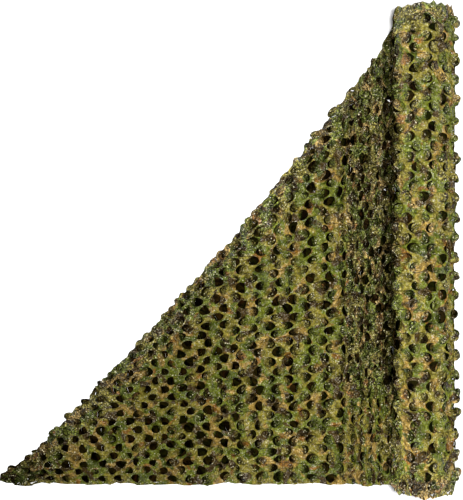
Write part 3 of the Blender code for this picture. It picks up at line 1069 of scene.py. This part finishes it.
OLIVE = (0.200, 0.170, 0.029, 1)
GRASS = (0.124, 0.143, 0.017, 1)
TAN = (0.290, 0.192, 0.048, 1)
RUST = (0.210, 0.103, 0.022, 1)
BARK = (0.056, 0.035, 0.009, 1)
MOSS = (0.080, 0.098, 0.013, 1)
# Over the olive: colour, patches in a metre, noise where it starts and where it is full, shift
PRINT_LAYERS = (
    (GRASS, 13.0, 0.490, 0.540, 1.3),
    (TAN, 15.0, 0.555, 0.605, 5.1),
    (RUST, 22.0, 0.615, 0.675, 9.7),
    (MOSS, 20.0, 0.570, 0.625, 14.9),
    (BARK, 22.0, 0.570, 0.630, 21.3),
)
# Tint of the back: browner, partly the net's own reverse and partly painted shade.
BACK_TINT = (1.1, 0.9, 0.7)
# Painted highlight along the cut edges.
PAINTED_RIM_LIGHT = (0.30, 0.26, 0.14, 1)
# Painted glints: small pale dots standing in for highlights.
PAINTED_GLINT = (0.85, 0.78, 0.50, 1)


def print_group():
    """The woodland print: flat patches of colour with soft edges, laid over one another."""
    tree, given, result = new_group("woodland_print", {"Cloth": "Vector"}, {"Colour": "Color"})
    place = pushed_about(given.outputs["Cloth"], 26.0, 2.0, 0.030)
    colour = OLIVE
    for patch, scale, start, end, shift in PRINT_LAYERS:
        share = between(noise_at(place, scale, 1.5, shift), start, end)
        colour = mixed(share, colour, patch)
    feed(result, Colour=colour)
    return tree


def grain_group():
    """The coated cloth's unevenness: a mottle, partly painted shade; painted glints; patches for
    the painted edge highlight; and creases.
    """
    tree, given, result = new_group(
        "coated_cloth_grain", {"Cloth": "Vector", "Relief": "Float", "Creased": "Float"},
        {"Mottle": "Float", "Fleck": "Float", "Worn": "Float", "Normal": "Vector"},
    )
    cloth, relief, creased_here = (given.outputs[k] for k in range(3))
    # Painted shade, in part: the broad mottle darkens the strands in lumps, for the shade of
    # crumples as well as uneven tone.
    broad = ranged(noise_at(cloth, 95.0, 2.0, 3.3), 0.58, 1.30, 0.33, 0.67)
    fine = ranged(noise_at(cloth, 230.0, 1.0, 6.1), 0.50, 1.50, 0.30, 0.70)
    pushed = pushed_about(cloth, 210.0, 1.0, 0.0065)
    # Painted light and shade: on creased cloth each small facet is painted lighter or darker, as
    # light would fall on it.
    _, facet = specks(pushed, 270.0)
    facet = ranged(multiplied(facet["Green"], facet["Green"]), 0.18, 2.30)
    grainy = ranged(creased_here, 0.30, 1.30)
    rumpled = between_one_and(multiplied(fine, facet), grainy)
    # Painted glints: small pale dots, in patches and more often where creased, standing in for
    # highlights.
    from_middle, dot = specks(pushed, 190.0)
    kept = worked_out("Math", "GREATER_THAN", dot["Red"], 0.58)
    round_dot = multiplied(between(from_middle, 0.40, 0.24), kept)
    patches = between(noise_at(cloth, 45.0, 1.0, 11.9), 0.34, 0.52)
    often = ranged(creased_here, 0.42, 1.0)
    strong = ranged(dot["Blue"], 0.40, 1.0)
    painted_glint_mask = multiplied(multiplied(round_dot, patches), multiplied(often, strong))
    crumple = noise_at(cloth, 65.0, 2.0, 7.7)
    creases = add_node(tree, "Bump", Strength=relief, Distance=0.020, Height=crumple)
    small_creases = add_node(
        tree, "Bump", Strength=multiplied(relief, creased_here), Distance=0.0075,
        Height=noise_at(cloth, 190.0, 1.0, 2.9), Normal=creases.outputs["Normal"],
    )
    feed(
        result, Mottle=multiplied(broad, rumpled), Fleck=painted_glint_mask,
        # patches in which the cut edges get their painted highlight
        Worn=between(noise_at(cloth, 50.0, 1.0, 17.3), 0.44, 0.58),
        Normal=small_creases.outputs["Normal"],
    )
    return tree


class Cloth(NamedTuple):
    """How printed cloth looks in one place."""

    name: str
    shade: float  # of its face, below 1 for painted shade on hidden cloth
    back: float  # shade of its back: partly the net's duller reverse, partly painted shade
    roughness: float
    gloss: float
    relief: float  # of its creases
    edge: float  # strength of the painted highlight on its cut edges
    # strength of the painted glints
    glint_strength: float


FACE = Cloth("net_face", 1.0, 0.30, 0.20, 0.42, 1.0, 0.60, 0.90)
# The next two are darker copies of the print: painted shade for the roll's inner turns, and for its
# second turn and the loose end's turned-under corner.
SHADED_TURNS = Cloth("net_reverse", 0.34, 0.34, 0.40, 0.30, 1.0, 0.20, 0.3)
SHADED_INNER = Cloth("net_inner", 0.055, 0.055, 0.90, 0.02, 0.5, 0.0, 0.0)


def new_material(name):
    """A material and its shader."""
    material = bpy.data.materials.new(name)
    material.use_nodes = True
    return material, material.node_tree.nodes["Principled BSDF"]


def cloth_material(look, groups):
    """Printed cloth with a darker back, painted highlights on its cut edges, painted glints, and
    painted light and shade.
    """
    material, shader = new_material(look.name)
    tree = material.node_tree
    place = add_node(tree, "UVMap", {"uv_map": "cloth"}).outputs["UV"]
    rim, painted_light, fine = (
        add_node(tree, "Attribute", {"attribute_name": name}).outputs["Fac"]
        for name in ("cut_edge", "painted_light", "creased")
    )
    printed, grain = (
        add_node(tree, "Group", {"node_tree": group}, Cloth=place) for group in groups
    )
    feed(grain, Relief=look.relief, Creased=fine)
    mottled = scaled(printed.outputs["Colour"], grain.outputs["Mottle"])
    # Painted light and shade: the print is scaled by the attribute of painted light and shade, and
    # painted a little darker and greyer where creased and on tongues.
    mottled = add_node(
        tree, "HueSaturation", Color=scaled(mottled, painted_light),
        Saturation=ranged(fine, 1.04, 0.92), Value=ranged(fine, 1.0, 0.92),
    ).outputs[0]
    # The back is darker and browner: partly the net's duller reverse, partly painted shade for what
    # shows through the holes.
    back_tint = [look.back * part for part in BACK_TINT]
    back = worked_out("VectorMath", "MULTIPLY", mottled, back_tint)
    # Painted highlight: pale cut edges, in patches.
    rim_light = multiplied(between(rim, 0.75, 1.0), grain.outputs["Worn"])
    rim_light = multiplied(rim_light, look.edge)
    face = mixed(rim_light, scaled(mottled, look.shade), PAINTED_RIM_LIGHT)
    # Painted glints, only where the painted light is bright enough.
    glints_here = multiplied(grain.outputs["Fleck"], look.glint_strength)
    glints_here = multiplied(glints_here, between(painted_light, 0.10, 0.45))
    face = mixed(glints_here, face, PAINTED_GLINT)
    behind = add_node(tree, "NewGeometry").outputs["Backfacing"]
    edge_on = add_node(tree, "LayerWeight", Blend=0.5).outputs["Facing"]
    sheen = ranged(painted_light, 0.0, look.gloss, 0.30, 1.0)
    feed(
        shader, Base_Color=mixed(behind, face, back), Roughness=look.roughness,
        Normal=grain.outputs["Normal"],
        Specular_IOR_Level=multiplied(sheen, between(edge_on, 0.55, 0.25)),
    )
    return material


# ---- camera, light and floor ----

CAMERA_HEIGHT = 4.0
CAMERA_X = 0.021
LENS = 90.1  # mm
SKY = 0.26
# name, place, what it is aimed at, size, power
LIGHTS = (
    ("key", (0.42, 0.0, 4.6), (0.1, 0, 0), 0.65, 325),
    ("fill", (-1.4, 0.3, 2.8), (0, 0, 0), 1.2, 18),
)
FLOOR_REACH = 6.0


def add_camera():
    data = bpy.data.cameras.new("camera")
    data.sensor_fit = "VERTICAL"
    data.sensor_height = 36.0
    data.lens = LENS
    data.clip_end = 50
    camera = add_object("camera", data)
    camera.location = (CAMERA_X, 0, CAMERA_HEIGHT)
    bpy.context.scene.camera = camera


def add_light(name, place, aim, size, power):
    data = bpy.data.lights.new(name, "AREA")
    data.size = size
    data.energy = power
    light = add_object(name, data)
    light.location = place
    light.rotation_euler = (Vector(aim) - Vector(place)).to_track_quat("-Z", "Y").to_euler()


def add_studio():
    world = bpy.data.worlds.new("studio")
    world.use_nodes = True
    background = world.node_tree.nodes["Background"]
    feed(background, Color=(1, 1, 1, 1), Strength=SKY)
    bpy.context.scene.world = world
    for light in LIGHTS:
        add_light(*light)
    mesh = bpy.data.meshes.new("floor")
    around = (-1, -1), (1, -1), (1, 1), (-1, 1)
    corners = [(x * FLOOR_REACH, y * FLOOR_REACH, 0) for x, y in around]
    mesh.from_pydata(corners, [], [(0, 1, 2, 3)])
    paper, shader = new_material("floor_paper")
    feed(shader, Base_Color=(0.93, 0.93, 0.925, 1), Roughness=0.9)
    mesh.materials.append(paper)
    add_object("floor", mesh)


def main():
    bpy.context.scene.view_settings.view_transform = "Standard"
    groups = print_group(), grain_group()
    # The last two materials paint the print darker, as painted shade for cloth inside the roll and
    # under the fold.
    face, shaded_turns, inner = (cloth_material(look, groups) for look in (FACE, SHADED_TURNS, SHADED_INNER))
    pieces = (
        (upper_layer(), "loose_end", face), (under_layer(), "loose_end", inner),
        (outer_turn(), "rolled_net", face), (second_turn(), "rolled_net", inner),
        (inner_turns(), "rolled_net", shaded_turns),
    )
    for piece, node, material in pieces:
        piece.data.materials.append(material)
        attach(piece, "root")
        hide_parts(node)
    add_camera()
    add_studio()


main()
